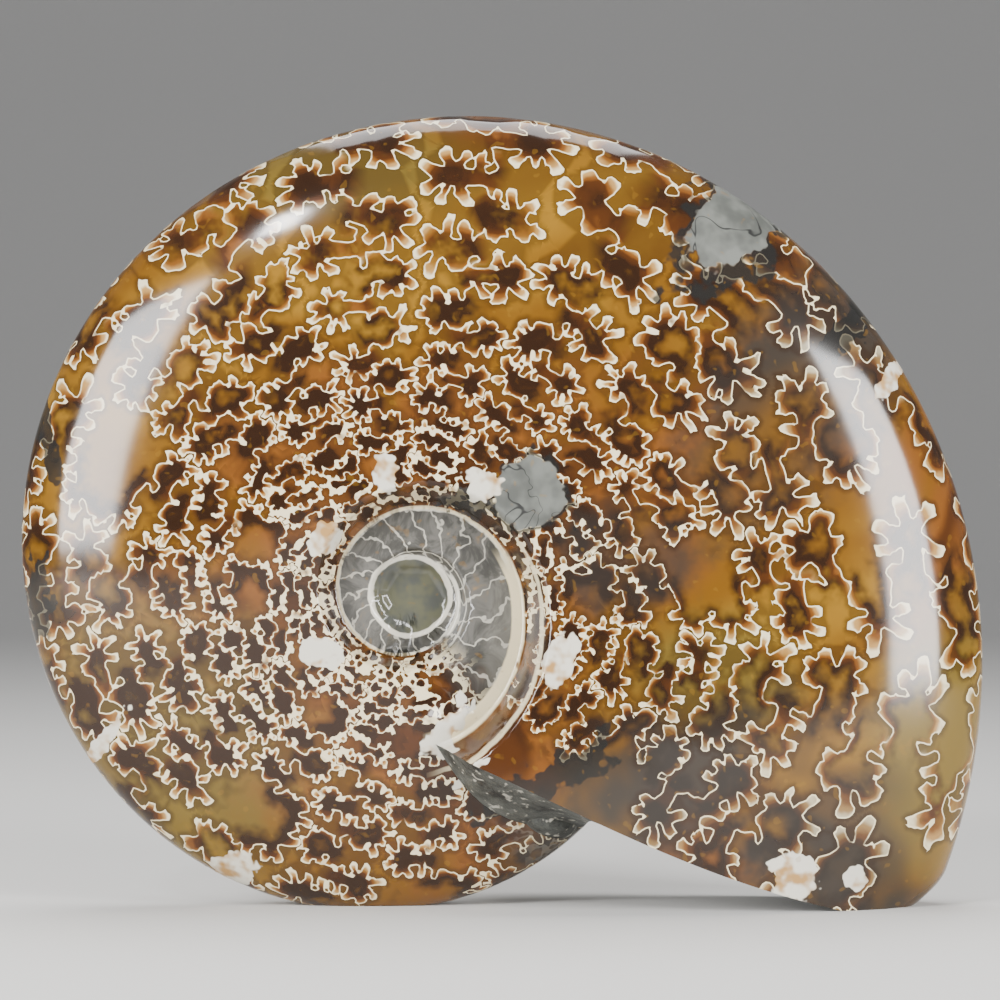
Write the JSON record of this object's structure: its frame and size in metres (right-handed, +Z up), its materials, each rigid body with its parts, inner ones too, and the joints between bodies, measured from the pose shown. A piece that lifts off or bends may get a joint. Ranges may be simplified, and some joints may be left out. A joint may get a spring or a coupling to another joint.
{
  "type": "ammonite fossil",
  "caption": "Polished ammonite fossil that stands upright on small ground flats, with amber chambers and leaf-shaped suture lines.",
  "frame": {"origin": "centre of the box round the fossil, at the surface it stands on", "axes": "+X towards the aperture, +Y from the front flank to the back flank along the coil's axis, +Z up"},
  "size_m": [0.1288, 0.0328, 0.1057],
  "materials": {
    "polished_stone": "polished"
  },
  "bodies": {
    "root": {"ammonite": "polished_stone"}
  },
  "joints": []
}
